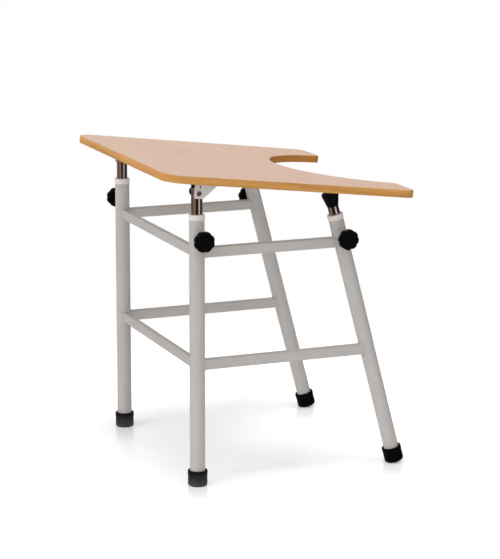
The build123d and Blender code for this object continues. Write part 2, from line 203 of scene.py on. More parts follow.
def round_angles(columns):
    """Evenly spaced angles round a whole turn."""
    return np.arange(columns) * 2 * np.pi / columns


def turned(profile, columns=96, radius=None):
    """Surface of revolution: x = r cos(a), y = r sin(a), z = height, with r from the profile, or
    from radius[row, column] where the section isn't round."""
    a = round_angles(columns)[None, :]
    r = profile[:, :1] if radius is None else radius
    height = np.broadcast_to(profile[:, 1:], (len(profile), columns))
    return np.stack([r * np.cos(a), r * np.sin(a), height], -1)


def smooth_step(x, low, high):
    """0 below low, 1 above high, and 3t^2 - 2t^3 between."""
    t = np.clip((x - low) / (high - low), 0, 1)
    return t * t * (3 - 2 * t)


# %% [markdown]
# ## Finishes
#
# Every finish is a small node tree on Object coordinates, so a pattern has a true size in metres
# and stays on its piece from any side. One helper sets up the Principled shader with its fixed
# numbers on its own sockets. Others add the common layers: a mottled colour, a rough patchwork and
# a fine bump.

# %% Material helpers
def shader(name, colour, roughness, **fixed):
    """New material with a Principled shader; returns the material, its tree and the shader."""
    finish = bpy.data.materials.new(name)
    finish.use_nodes = True
    tree = finish.node_tree
    bsdf = tree.nodes["Principled BSDF"]
    bsdf.inputs["Base Color"].default_value = (*colour, 1)
    bsdf.inputs["Roughness"].default_value = roughness
    for socket, value in fixed.items():
        bsdf.inputs[socket.replace("_", " ")].default_value = value
    return finish, tree, bsdf


def add(tree, kind, inputs=None, **options):
    """Node of a kind, with its options set and its inputs linked or filled."""
    node = tree.nodes.new("ShaderNode" + kind)
    for option, value in options.items():
        setattr(node, option, value)
    for socket, value in (inputs or {}).items():
        if isinstance(value, bpy.types.NodeSocket):
            tree.links.new(value, node.inputs[socket])
        else:
            node.inputs[socket].default_value = value
    return node


def calc(tree, way, *values):
    """Result of arithmetic on sockets and numbers."""
    return add(tree, "Math", dict(enumerate(values)), operation=way).outputs[0]


def object_space(tree, scale=(1, 1, 1), source="Object"):
    """Coordinates of the piece in metres, stretched by scale."""
    place = add(tree, "TexCoord").outputs[source]
    return add(tree, "Mapping", {"Vector": place, "Scale": scale}).outputs[0]


def noise(tree, where, scale, detail=3.0, roughness=0.5):
    """Grey noise between about 0.2 and 0.8."""
    return add(tree, "TexNoise", {"Vector": where, "Scale": scale, "Detail": detail,
                                  "Roughness": roughness}).outputs["Fac"]


def rgba(colour):
    """Colour with an alpha of one; a socket stays as it is."""
    return colour if isinstance(colour, bpy.types.NodeSocket) else (*colour, 1)


def ramp(tree, value, *stops):
    """Colour ramp with stops of (position, colour)."""
    node = add(tree, "ValToRGB", {"Fac": value})
    points = node.color_ramp.elements
    while len(points) < len(stops):
        points.new(0.5)
    for point, (position, colour) in zip(points, stops):
        point.position, point.color = position, rgba(colour)
    return node.outputs["Color"]


def span(tree, value, low, high, to_low, to_high):
    """Value moved from one range to another and held inside it."""
    return add(tree, "MapRange", {"Value": value, "From Min": low, "From Max": high,
                                  "To Min": to_low, "To Max": to_high}).outputs["Result"]


def blend(tree, factor, first, second, way="MIX"):
    """Mix of two colours; the colour sockets of the node are its inputs 6 and 7, and its output 2."""
    return add(tree, "Mix", {0: factor, 6: rgba(first), 7: rgba(second)}, data_type="RGBA",
               blend_type=way).outputs[2]


def coat(tree, bsdf, tint, rough, height, depth, strength):
    """Colour, roughness and a bump of a given depth in metres, all linked to the shader."""
    bump = add(tree, "Bump", {"Height": height, "Distance": depth, "Strength": strength})
    tree.links.new(tint, bsdf.inputs["Base Color"])
    tree.links.new(bump.outputs["Normal"], bsdf.inputs["Normal"])
    if rough:
        tree.links.new(rough, bsdf.inputs["Roughness"])


print("material helpers ready")

# %% [markdown]
# ## Powder coat
#
# The frame is sprayed with a warm light grey powder and baked. Up close the film has the shallow
# dimples called orange peel, a faint unevenness in tone, and a satin shine. The rear brackets have
# the same film in a paler batch, so one recipe makes both.

# %% Powder coat for the frame and the brackets
def powder_coat(name, colour, shade):
    """Mottled tone between the colour and its shade, with darker specks and an orange-peel bump."""
    finish, tree, bsdf = shader(name, colour, 0.45, Specular_IOR_Level=0.42)
    here = object_space(tree)
    mottle = noise(tree, here, 14.0, 4.0, 0.6)
    dark = tuple(c * shade for c in colour)
    tint = ramp(tree, mottle, (0.3, dark), (0.62, colour))
    speck = noise(tree, here, 900.0, 2.0)
    tint = blend(tree, span(tree, speck, 0.66, 0.74, 0.0, 0.35), tint, dark)
    peel = noise(tree, here, 420.0, 2.0)
    coat(tree, bsdf, tint, span(tree, mottle, 0.3, 0.7, 0.40, 0.52), peel, 0.00012, 0.5)
    return finish


FINISH = {
    "frame_paint": powder_coat("warm grey powder coat", (0.505, 0.480, 0.463), 0.94),
    "bracket_paint": powder_coat("pale grey powder coat", (0.655, 0.625, 0.605), 0.95),
}
print("finishes", list(FINISH))

# %% [markdown]
# ## Chrome and other metals
#
# The inner tubes are chromed. Drawing the tube leaves very fine lines along it, and sliding through
# the bush adds faint hazy rings, so the shine is broken a little in both directions. The washers and
# wood screws have a dull zinc coat, and the pivot bolts a black oxide coat with brighter rubbed patches.

# %% Metals
def chrome():
    """Bright metal with fine lines along the tube and faint hazy rings round it."""
    bright, clouded = (0.60, 0.575, 0.56), (0.52, 0.49, 0.47)
    finish, tree, bsdf = shader("chromed tube", bright, 0.10, Metallic=1.0)
    drawn = noise(tree, object_space(tree, (900, 900, 6)), 1.0, 3.0, 0.6)
    haze = noise(tree, object_space(tree, (25, 25, 160)), 1.0, 4.0, 0.65)
    rough = calc(tree, "ADD", span(tree, drawn, 0.35, 0.75, 0.05, 0.12),
                 span(tree, haze, 0.45, 0.8, 0.0, 0.10))
    coat(tree, bsdf, ramp(tree, haze, (0.35, bright), (0.75, clouded)), rough, drawn, 0.00001, 0.4)
    return finish


def plated(name, colour, rubbed, roughness):
    """Dull plating: cloudy tone, and brighter metal where the noise says it is rubbed."""
    finish, tree, bsdf = shader(name, colour, roughness, Metallic=1.0)
    here = object_space(tree)
    cloud = noise(tree, here, 260.0, 4.0, 0.6)
    tint = ramp(tree, cloud, (0.35, colour), (0.7, rubbed))
    rough = span(tree, cloud, 0.3, 0.7, roughness + 0.08, roughness - 0.08)
    coat(tree, bsdf, tint, rough, noise(tree, here, 1500.0, 2.0), 0.00003, 0.5)
    return finish


FINISH["chrome"] = chrome()
FINISH["zinc_steel"] = plated("zinc plated steel", (0.50, 0.50, 0.48), (0.62, 0.61, 0.58), 0.36)
FINISH["dark_steel"] = plated("black oxide steel", (0.13, 0.125, 0.12), (0.30, 0.29, 0.28), 0.42)
print("finishes", list(FINISH))

# %% [markdown]
# ## Beech laminate, its edge and the board inside
#
# The desktop is a wood board faced with a beech pattern. Beech has little figure: soft lighter and
# darker bands along the grain, short dark flecks where rays are cut, and fine pores. Noise that is
# stretched far along the grain gives the bands, and cells stretched less give the flecks. The edge
# band is a warmer, more orange strip, and its lines run along it, so it reads its own unrolled map.

# %% Beech patterns
def beech(name, pale, mid, deep, across, along, roughness, source="Object", figure=0.55, flecks=0.5):
    """Laminate: broad bands, finer lines and short flecks. Every pattern is across times finer than
    a metre, but along the first axis only along times finer, so it is drawn out that way."""
    def drawn(wide, long):
        return object_space(tree, (along * long, across * wide, across * wide), source)
    finish, tree, bsdf = shader(name, mid, roughness, Specular_IOR_Level=0.4)
    grain = drawn(1, 1)
    sway = add(tree, "TexNoise", {"Vector": grain, "Scale": 0.12, "Detail": 2.0})
    shift = add(tree, "VectorMath", {0: sway.outputs["Color"], "Scale": 0.9}, operation="SCALE").outputs[0]
    bent = add(tree, "VectorMath", {0: grain, 1: shift}, operation="ADD").outputs[0]
    bands = noise(tree, bent, 0.35, 4.0, 0.55)
    lines = noise(tree, bent, 3.2, 5.0, 0.65)
    tint = ramp(tree, bands, (0.28, deep), (0.50, mid), (0.74, pale))
    tint = blend(tree, span(tree, lines, 0.40, 0.75, 0.0, figure), tint, deep)
    ray = add(tree, "TexVoronoi", {"Vector": drawn(2.4, 6.0), "Scale": 1.0}).outputs["Distance"]
    dark = tuple(c * 0.72 for c in deep)
    tint = blend(tree, span(tree, ray, 0.06, 0.20, flecks, 0.0), tint, dark)
    rough = span(tree, lines, 0.3, 0.8, roughness - 0.04, roughness + 0.08)
    coat(tree, bsdf, tint, rough, lines, 0.00004, 0.35)
    return finish


print("beech recipe ready")

# %% [markdown]
# ## Laminates, band and core
#
# The three laminates are the same recipe with other tones and scales: quiet on top, plain and dry
# underneath, strongly figured on the band. The core is pressed from chips, which show only at cut
# edges: cells of several browns with a rough surface.

# %% Finishes of the board
def particle_board():
    """Pressed chips: cells of several brown tones with dark glue lines between."""
    finish, tree, bsdf = shader("pressed wood chips", (0.45, 0.31, 0.18), 0.85)
    chips = add(tree, "TexVoronoi", {"Vector": object_space(tree, (1, 1, 2.5)), "Scale": 420.0})
    tone = ramp(tree, noise(tree, chips.outputs["Position"], 3.0), (0.3, (0.27, 0.17, 0.09)),
                (0.7, (0.58, 0.43, 0.27)))
    coat(tree, bsdf, tone, None, chips.outputs["Distance"], 0.0004, 0.7)
    return finish


FINISH["top_laminate"] = beech("beech laminate", (0.742, 0.503, 0.374), (0.722, 0.484, 0.356),
                               (0.675, 0.440, 0.317), 95, 7, 0.45, figure=0.26, flecks=0.30)
FINISH["under_laminate"] = beech("beech backing sheet", (0.64, 0.54, 0.44), (0.59, 0.49, 0.39),
                                 (0.52, 0.42, 0.33), 80, 6, 0.6)
FINISH["edge_band"] = beech("beech edge band", (0.724, 0.371, 0.094), (0.630, 0.305, 0.073),
                            (0.442, 0.183, 0.038), 210, 11, 0.42, "UV", figure=0.65, flecks=0.4)
FINISH["board_core"] = particle_board()
print("finishes", list(FINISH))

# %% [markdown]
# ## Plastics and rubber
#
# The bushes are an off-white moulding with a slightly waxy look. Knobs are a hard black moulding
# with the fine spark-eroded grain of its mould. The tips are softer rubber: greyer, duller, and
# paler towards the floor. The buffers are the same kind of rubber, without the paler foot.

# %% Plastics and rubber
def moulded(name, colour, roughness, grain, depth, shine=0.5, paler_foot=None, **fixed):
    """Moulding with a fine grain. The optional pair is a paler colour, blended in towards the
    bottom of the piece, and the height in metres where it fades out.
    """
    finish, tree, bsdf = shader(name, colour, roughness, Specular_IOR_Level=shine, **fixed)
    here = object_space(tree)
    patch = noise(tree, here, 60.0, 3.0, 0.6)
    paler = tuple(min(1, c * 1.22 + 0.0005) for c in colour)
    tint = blend(tree, span(tree, patch, 0.35, 0.7, 0.0, 0.5), colour, paler)
    # Paler towards the bottom: the given colour is blended in below the given height.
    if paler_foot:
        height = add(tree, "SeparateXYZ", {"Vector": here}).outputs["Z"]
        lift = calc(tree, "MULTIPLY", span(tree, height, 0.0, paler_foot[1], 0.75, 0.0),
                    span(tree, patch, 0.3, 0.7, 0.5, 1.0))
        tint = blend(tree, lift, tint, paler_foot[0])
    rough = span(tree, patch, 0.3, 0.7, roughness - 0.05, roughness + 0.07)
    coat(tree, bsdf, tint, rough, noise(tree, here, grain, 2.0), depth, 0.6)
    return finish


JET = (0.0012, 0.0012, 0.0012)
FINISH["bush_plastic"] = moulded("off-white bush plastic", (0.715, 0.665, 0.65), 0.42, 700, 0.00003, 0.25,
                                 Subsurface_Weight=0.08, Subsurface_Scale=0.004)
FINISH["nylon"] = moulded("natural nylon", (0.72, 0.70, 0.64), 0.40, 500, 0.00003,
                          Subsurface_Weight=0.15, Subsurface_Scale=0.004)
FINISH["knob_plastic"] = moulded("black knob plastic", JET, 0.42, 1500, 0.00010, 0.07)
FINISH["nut_plastic"] = moulded("black nut plastic", JET, 0.55, 1500, 0.00010, 0.015)
# Rear tips: black rubber that turns paler towards the floor.
FINISH["tip_rubber"] = moulded("black tip rubber", (0.0045, 0.0042, 0.0040), 0.60, 800, 0.00010, 0.14,
                               paler_foot=((0.105, 0.107, 0.110), 0.036))
# Front tips: a blacker copy of the rubber, without the paler foot.
FINISH["blacker_rubber"] = moulded("blacker tip rubber", (0.0010, 0.0010, 0.0010), 0.60, 800, 0.00010, 0.05)
FINISH["buffer_rubber"] = moulded("black buffer rubber", (0.0022, 0.0022, 0.0022), 0.50, 800, 0.00008, 0.12)
print("finishes", list(FINISH))

# %% [markdown]
# ## Dress every solid
#
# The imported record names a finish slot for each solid. Going through it once gives every solid its
# material, also the hidden ones, and the new pieces below take theirs by the same slot names.

# %% Give the solids their finishes
SLOT_OF = {part["node"]: part["material_slot"] for part in frame["record"]["subparts"]}
for node, solid in frame["nodes"].items():
    solid.data.materials.clear()
    solid.data.materials.append(FINISH[SLOT_OF[node]])
print("dressed", len(SLOT_OF), "solids")


def dress(piece, body, node=None, slot=None, finish=None):
    """Gives a new piece its finish and body, and hides the solid that it stands for, if there is one.
    The finish is the one named, or else that of the slot, which is the solid's unless another is named."""
    slot = slot or SLOT_OF[node]
    piece.data.materials.append(FINISH[finish or slot])
    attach(piece, body)
    if node:
        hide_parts(node)


# %% [markdown]
# ## Rubber tips
#
# Each foot stands in a moulded rubber cup: a thicker rim at the mouth that grips the tube, a
# slightly waisted wall, and a sole with round grooves against slipping. It is turned from one
# closed profile, outside and inside. The front tips lean, so their soles are pressed flat where
# they would sink below the floor. They are also blacker than the rear pair and lack its paler
# foot, so they have a rubber of their own.

# %% Rubber tips
FOOT_R, FOOT_HEIGHT, FOOT_CORNER = 25.0, 40.0, 6.0


def tip_profile(start):
    """From the middle of the grooved sole up the waisted wall, over the rim and down the bore."""
    r, top = FOOT_R, FOOT_HEIGHT
    corners = [(0, 1.0, 0), (5, 1.0, 0.5), (5.8, 0, 0.5), (9.2, 0, 0.5), (10, 1.2, 0.5), (12, 1.2, 0.5),
               (12.8, 0, 0.5), (15.4, 0, 0.5), (16.2, 1.2, 0.5), (17.6, 1.2, 0.4), (18.4, 0, 0.4),
               (r - 0.3, 0, 5.6), (r - 0.7, 27.5, 0.8), (r, 29.2, 0.8), (r, top, 2.4), (20.2, top, 1.0),
               (LEG_R, top - 2.5, 0.8), (LEG_R, 8, 0.8), (0, 8, 0)]
    return rounded(corners, 4) + np.array([0, start])


def front_tip_start():
    """Distance along the leaning leg from the floor line to the sole: the sole's rounded edge may
    dip 1.2 mm below the floor before it is pressed flat."""
    settle = 1.2
    dip = (FOOT_R - FOOT_CORNER) * sin(RAKE) - FOOT_CORNER * cos(RAKE) + FOOT_CORNER
    return (dip - settle) / cos(RAKE)


TIP_START = {"rear": 0.0, "front": front_tip_start()}
for name, end in LEGS:
    points = placed(turned(tip_profile(TIP_START[end])), axes_of_leg(name, end))
    points[..., 2] = np.maximum(points[..., 2], 0.0)
    dress(surface(f"rubber_tip_{end}_{name}", points), "frame", f"tip_{end}_{name}",
          finish="blacker_rubber" if end == "front" else None)

# %% [markdown]
# ## Guide bushes
#
# A pale bush caps each outer tube and guides the chromed one. It has a collar with a soft upper
# edge, a small step where it meets the painted tube, and a spigot inside. It too is one closed
# profile, with the bore turned together with the outside.

# %% Guide bushes
COLLAR_HEIGHT, COLLAR_R, SPIGOT_LENGTH, FIT = 14.0, 20.0, 33.0, 0.06


def bush_profile():
    """Closed section: the spigot's foot, its wall, the collar, and back down the bore."""
    top, seat, foot = LEG_TOP, LEG_TOP - COLLAR_HEIGHT, LEG_TOP - COLLAR_HEIGHT - SPIGOT_LENGTH
    bore, spigot, collar = INNER_R + FIT, LEG_BORE_R - FIT, COLLAR_R
    corners = [(bore, foot, 0), (spigot, foot, 0.6), (spigot, seat, 0), (collar - 0.4, seat, 0.25),
               (collar, seat + 1.4, 0.4), (collar, top, 1.8), (bore + 1.0, top, 0.5), (bore, top - 1.0, 0.3),
               (bore, foot, 0)]
    return rounded(corners, 6)[:-1]


for name, end in LEGS:
    points = placed(turned(bush_profile(), 128), axes_of_leg(name, end))
    dress(surface(f"guide_bush_{end}_{name}", points, loop=True), "frame", f"bush_{end}_{name}")

# %% [markdown]
# ## Lobed clamp knobs
#
# The knob is a moulded grip with eight shallow lobes. Its rim could be cut by eight cylinders, but
# the real mould has soft valleys. So the radius is the profile's radius less a smooth valley that
# repeats eight times round, and fades out towards the middle of both faces. The front face has a
# shallow dish with a raised button, as on a moulded knob with a blind insert.

# %% Lobed knobs
LOBES, VALLEY_DEPTH, INSERT_DEPTH = 8, 0.072, 16.0


def knob_profile():
    """From the bottom of the screw's hole out over the hub, and round the rim to the front face."""
    hub, head, rim, face = HUB_START, HUB_START + 9.0, 26.0, HUB_START + 26.0
    corners = [(SCREW_R, hub, 0), (11.2, hub, 1.0), (12.0, hub + 3, 0.8), (12.0, head - 0.4, 1.4),
               (15.5, head, 1.2), (rim, head, 3.2), (rim, face, 4.2), (17.4, face, 0.8),
               (15.6, face - 1.1, 1.4), (9.6, face - 1.1, 1.2), (8.6, face - 0.2, 0.8), (0, face, 0)]
    hole = [(0, hub + INSERT_DEPTH), (SCREW_R, hub + INSERT_DEPTH)]
    return np.concatenate([hole, rounded(corners, 6)])


def knob_surface(columns=192):
    """Profile radius x (1 - depth x valley^3 x weight): valley is (1 + cos 8a) / 2, and weight a
    smooth step from the 17 mm circle to the rim."""
    profile = knob_profile()
    valley = (0.5 + 0.5 * np.cos(LOBES * round_angles(columns))) ** 3.0
    weight = smooth_step(profile[:, :1], 17.0, 25.0)
    return turned(profile, columns, profile[:, :1] * (1 - VALLEY_DEPTH * valley * weight))


for name, end in LEGS:
    points = placed(knob_surface(), clamp_axes(name, end))
    dress(surface(f"lobed_knob_{end}_{name}", points, crease=40), f"clamp_{end}_{name}",
          f"clamp_knob_{end}_{name}")

# %% [markdown]
# ## Clamp screws with a real thread
#
# The 8 mm screw shows for 5 mm between the boss and the knob. A thread is a helix, but it needs no
# sweep: on a grid of angle and height, the radius drops by a triangle wave of height / pitch minus
# the turn. The tip is coned and the far end is plain.

# %% Clamp screws
PITCH, THREAD_DEPTH = 1.25, 0.62


def thread_surface(low, high, columns=40, tip=1.6):
    """r(a, z) = radius - depth x |2 frac(z / pitch - a / 2 pi) - 1| x fade, closed by two poles.
    fade takes the thread out over the last pitch at each end, and the tip narrows linearly."""
    z = np.linspace(low, high, int((high - low) / PITCH * 8) + 1)
    a = round_angles(columns)
    wave = np.abs(2 * np.mod(z[:, None] / PITCH - a[None] / (2 * np.pi), 1) - 1)
    fade = smooth_step(z, low, low + PITCH)[:, None] * (1 - smooth_step(z, high - PITCH, high))[:, None]
    r = SCREW_R - THREAD_DEPTH * wave * fade - np.clip(low + tip - z, 0, tip)[:, None] * 0.8
    z = np.concatenate([[low], z, [high]])
    r = np.concatenate([np.zeros((1, columns)), r, np.zeros((1, columns))])
    return turned(np.stack([z, z], -1), columns, r)


for name, end in LEGS:
    points = placed(thread_surface(CHEEK, HUB_START + INSERT_DEPTH), clamp_axes(name, end))
    dress(surface(f"threaded_screw_{end}_{name}", points, crease=50), f"clamp_{end}_{name}",
          f"clamp_screw_{end}_{name}")

# %% [markdown]
# ## Front buffers
#
# The desktop rests on two rubber buffers, plugged into the front tubes. Each is a cone that widens
# upwards, with a shallow domed top and two moulded rings. The dome is part of a circle of 40 mm
# radius, so its edge is found from the circle and not guessed.

# %% Front buffers
BUFFER_BASE, BUFFER_CENTRE, DOME_R, RIM_R, RIM_BAND = 709.5, 709.318, 40.0, 21.5, 6.0
BUFFER_RIM = BUFFER_CENTRE + sqrt(DOME_R**2 - RIM_R**2)


def buffer_profile():
    """Plug, foot, cone with two grooves, rim and dome."""
    foot, shoulder = 14.4, BUFFER_RIM - RIM_BAND
    cone = (RIM_R - foot) / (shoulder - BUFFER_BASE)
    def wall(height):
        return foot + cone * (height - BUFFER_BASE)
    base, plug = BUFFER_BASE, 20
    corners = [(0, base - plug, 0), (BORE_R, base - plug, 1.2), (BORE_R, base, 0), (foot, base, 0.4)]
    for low in (base + 7, base + 12.5):
        corners += [(wall(low), low, 0.3), (wall(low) - 0.7, low + 0.8, 0.3),
                    (wall(low) - 0.6, low + 1.4, 0.3), (wall(low + 2.2), low + 2.2, 0.3)]
    corners += [(RIM_R, shoulder, 2.0), (RIM_R, BUFFER_RIM, 1.6)]
    spread = np.linspace(RIM_R - 2.5, 0, 10)
    dome = np.stack([spread, BUFFER_CENTRE + np.sqrt(DOME_R**2 - spread**2)], -1)
    corners += [(*dome[0], 0)]
    return np.concatenate([rounded(corners, 5)[:-1], dome])


for name in SIDES:
    points = placed(turned(buffer_profile()), axes_of_leg(name, "front"))
    dress(surface(f"cone_buffer_{name}", points), "front_tubes", f"buffer_{name}")

# %% [markdown]
# ## Caps in the rear tubes
#
# The open upper ends of the rear tubes are closed with black caps: a domed head on the rim and a
# ribbed spigot inside that grips by three rings.

# %% Tube caps
def cap_profile():
    """Ribbed spigot from its foot up, then the head."""
    seat, foot, top = PIVOT_Z + 13.5, PIVOT_Z + PIVOT_R + 0.3, PIVOT_Z + 21.5
    corners = [(0, foot, 0), (BORE_R - 0.9, foot, 0.6)]
    for ring in (seat - 7.5, seat - 5.0, seat - 2.5):
        corners += [(BORE_R - 0.6, ring, 0.2), (BORE_R, ring + 0.6, 0.3), (BORE_R - 0.6, ring + 1.2, 0.2)]
    corners += [(BORE_R - 0.1, seat, 0), (INNER_R, seat, 0.3), (INNER_R, top - 0.8, 2.6), (0, top, 0)]
    return rounded(corners, 5)


for name in SIDES:
    points = placed(turned(cap_profile()), axes_of_leg(name, "rear"))
    dress(surface(f"domed_cap_{name}", points), "rear_tubes", f"tube_cap_{name}")

# %% [markdown]
# ## Pivot bolts
#
# The desktop turns on two bolts. The head is a low dome with a hexagon socket: the socket's wall is
# where the radius follows a hexagon and not a circle, so it needs no cutting tool.

# %% Pivot bolts
WASHER = 1.2


def hexagon(columns, flats):
    """Radius of a hexagon at each angle: half its width across flats / cos(angle from its flat)."""
    a = np.mod(round_angles(columns), np.pi / 3) - np.pi / 6
    return flats / 2 / np.cos(a)


def pivot_axes(name):
    """Origin on the tube's axis at the pivot, last direction out from the table."""
    out = SIDES[name] * ACROSS
    return np.array([SIDES[name] * LEG_X, REAR_Y, PIVOT_Z]), UP, np.cross(out, UP), out


def bolt_surface(columns=96):
    """Shank and domed head, then three rows down the socket: two hexagons and a pole."""
    seat, far, r, head, height = CHEEK + PLATE + WASHER, -CHEEK - 10.0, PIVOT_R, 5.25, 3.3
    shank = rounded([(0, far, 0), (r, far, 0.7), (r, seat, 0), (head - 0.4, seat, 0.2),
                     (head, seat + 0.5, 0.3), (head, seat + 1.6, 1.3), (3.4, seat + height, 0.5),
                     (2.2, seat + height, 0)], 6)
    socket = np.array([[2.0, seat + height - 0.3], [1.95, seat + 1.4], [0.0, seat + 0.9]])
    round_part = np.broadcast_to(shank[:, :1], (len(shank), columns))
    hex_part = np.stack([hexagon(columns, 4.1), hexagon(columns, 3.9), np.zeros(columns)])
    return turned(np.concatenate([shank, socket]), columns, np.concatenate([round_part, hex_part]))


for name in SIDES:
    bolt = surface(f"socket_bolt_{name}", placed(bolt_surface(), pivot_axes(name)))
    dress(bolt, "pivot_bolts", f"pivot_bolt_{name}")

# %% [markdown]
# ## Capped nuts
#
# On each bolt's inner end sits a nut under a black plastic cap. It is almost round: six soft flats
# are pressed into it, so the radius is drawn in a little wherever a hexagon would be nearest.

# %% Capped nuts
def nut_surface(columns=120):
    """Moulded cap over a nut: a domed end, and a profile radius drawn in a little at six flats. facet
    is 0 in the middle of a flat and 1 at a corner, where a hexagon reaches 2 / sqrt(3) as far."""
    near, r, wide, length = -CHEEK, PIVOT_R, 12.0, 14.0
    far = near - length
    profile = rounded([(r, near - 10, 0), (r, near, 0), (wide - 0.6, near, 0.5), (wide, near - 1.6, 0.6),
                       (wide, far + 4.6, 1.6), (wide - 1.4, far + 1.8, 1.6), (6.5, far, 2.4), (0, far, 0)], 5)
    profile = np.concatenate([[(0, near - 10)], profile])
    weight = smooth_step(profile[:, :1], 8.0, 11.6)
    facet = (hexagon(columns, 2.0) - 1) / 0.1547
    return turned(profile, columns, profile[:, :1] * (1 - 0.045 * weight * (1 - facet)))


for name in SIDES:
    nut = surface(f"cap_nut_{name}", placed(nut_surface(), pivot_axes(name)))
    dress(nut, "pivot_bolts", f"pivot_nut_{name}", finish="nut_plastic")

# %% [markdown]
# ## Washers
#
# A thin washer with a broken edge lies under each bolt's head. Both are parts of one array, so they
# make one piece.

# %% Washers
def washer_surface(columns=72):
    """Flat ring under the bolt's head, with rounded outer edges."""
    low, high, r, wide = CHEEK + PLATE, CHEEK + PLATE + WASHER, PIVOT_R, 6.5
    profile = rounded([(r, low, 0), (wide, low, 0.3), (wide, high, 0.3), (r, high, 0), (r, low, 0)], 3)[:-1]
    return turned(profile, columns)


washers = np.stack([placed(washer_surface(), pivot_axes(name)) for name in SIDES])
dress(surface("soft_edge_washers", washers, loop=True), "pivot_bolts", "pivot_washers")

# %% [markdown]
# ## Wood screws with a cross recess
#
# Six pan-head screws hold the brackets under the desktop. The recess is a height taken off the
# head: deep where the point lies near one of the cross's two arms, and nothing elsewhere. A fine
# polar grid over the head is enough to show it.

# %% Wood screws
FLANGE = 36.0


def screw_places():
    """Out from the tube's axis and ahead of the pivot, three on each bracket, staggered."""
    middle = CHEEK + PLATE - FLANGE / 2
    return [(middle + s * 7.0, 21.0 + 11.5 * k) for k, s in enumerate((-1, 1, -1))]


def screw_surface(columns=64, face_rows=22, face_r=3.1, recess=1.5):
    """Profile from the point of the thread down to the head's face, less the recess depth."""
    r = np.linspace(face_r, 0, face_rows)
    face = np.stack([r, -2.6 + 0.10 * (r / face_r) ** 2], -1)
    body = rounded([(0, 16, 0), (1.4, 14, 0.2), (2.0, 11, 0.2), (2.0, 0, 0), (3.9, 0, 0.2),
                    (3.9, -1.4, 1.1), (face_r, -2.5, 0)], 6)[:-1]
    grid = turned(np.concatenate([body, face]), columns)
    x, y = np.abs(grid[-face_rows:, :, 0]), np.abs(grid[-face_rows:, :, 1])
    arm = (1 - smooth_step(np.minimum(x, y), 0.30, 0.55)) * (1 - smooth_step(np.maximum(x, y), 1.9, 2.5))
    grid[-face_rows:, :, 2] += recess * arm
    return grid


seats = [np.array([side * (LEG_X + out), -ahead, PIVOT_TO_BOARD - PLATE])
         for side in SIDES.values() for out, ahead in screw_places()]
screws = np.stack([placed(screw_surface() + seat, BOARD_AXES) for seat in seats])
dress(surface("cross_recess_screws", screws), "desktop", "wood_screws")

# %% [markdown]
# ## Sheet of a rear bracket
#
# Each bracket is cut from 3 mm steel and folded once: a three-cornered cheek stands beside the
# tube, a flange lies under the board. The surface runs along the fold line in one direction, and
# from the sheet's rear edge to its slanted front edge in the other.

# %% Sheet of a bracket
BACK, LOW, NOSE, REACH = 12.0, 13.0, 11.5, 50.0


def fold_line(cheek_rows=22, bend_rows=9, flange_rows=15):
    """Middle line of the sheet in (out, up): up the cheek, round a bend, and in along the flange."""
    bend, cheek, top = 4.5, CHEEK + PLATE / 2, PIVOT_TO_BOARD - PLATE / 2
    rise = np.linspace(-LOW, top - bend, cheek_rows)
    a = np.linspace(0, np.pi / 2, bend_rows + 1)[1:]
    inwards = np.linspace(cheek - bend, CHEEK + PLATE - FLANGE, flange_rows + 1)[1:]
    out = np.concatenate([np.full(cheek_rows, cheek), cheek - bend + bend * np.cos(a), inwards])
    up = np.concatenate([rise, top - bend + bend * np.sin(a), np.full(flange_rows, top)])
    return out, up


def bracket_sheet(name, columns=30):
    """Points between the rear edge and the front edge. The front edge runs from the pivot's nose up
    to the flange's reach along a straight slope; the cheek's lower rear corner is cut back by the
    square of the height left to it, which rounds it."""
    out, up = fold_line()
    height = up + LOW
    slope = np.clip(height / (PIVOT_TO_BOARD - PLATE + LOW), 0, 1)
    corner = 3.0 * np.clip(1 - height / 3.0, 0, 1) ** 2
    front, rear = 0.6 * corner - (NOSE + (REACH - NOSE) * slope), BACK - corner
    y = rear[:, None] + (front - rear)[:, None] * np.linspace(0, 1, columns)
    out, up = np.broadcast_to(out[:, None], y.shape), np.broadcast_to(up[:, None], y.shape)
    return placed(np.stack([SIDES[name] * (LEG_X + out), y, up], -1), BOARD_AXES)


print("sheet of", bracket_sheet("left").shape[:2], "points")

# %% [markdown]
# ## Folded brackets
#
# Solidify gives the sheet its thickness, also round the bend. The index hole is cut through it, as
# a drill does, and a bevel breaks the edges. The result is kept as a plain mesh.

# %% Folded brackets
HOLE_UP, HOLE_AHEAD, HOLE_R, EDGE_BREAK = 17.0, 1.5, 2.5, 0.45


def drill_bit(name):
    """Cylinder across the cheek at its index hole."""
    pivot, *ways = pivot_axes(name)
    place = pivot + HOLE_UP * BOARD_AXES[3] - HOLE_AHEAD * BOARD_AXES[2]
    section = np.array([(0, 8.0), (HOLE_R, 8.0), (HOLE_R, 26.0), (0, 26.0)])
    return surface("drill", placed(turned(section, 32), (place, *ways)))


def modifier(piece, kind, **options):
    """New modifier of a kind on a piece, with its options set."""
    step = piece.modifiers.new(kind.lower(), kind)
    for option, value in options.items():
        setattr(step, option, value)


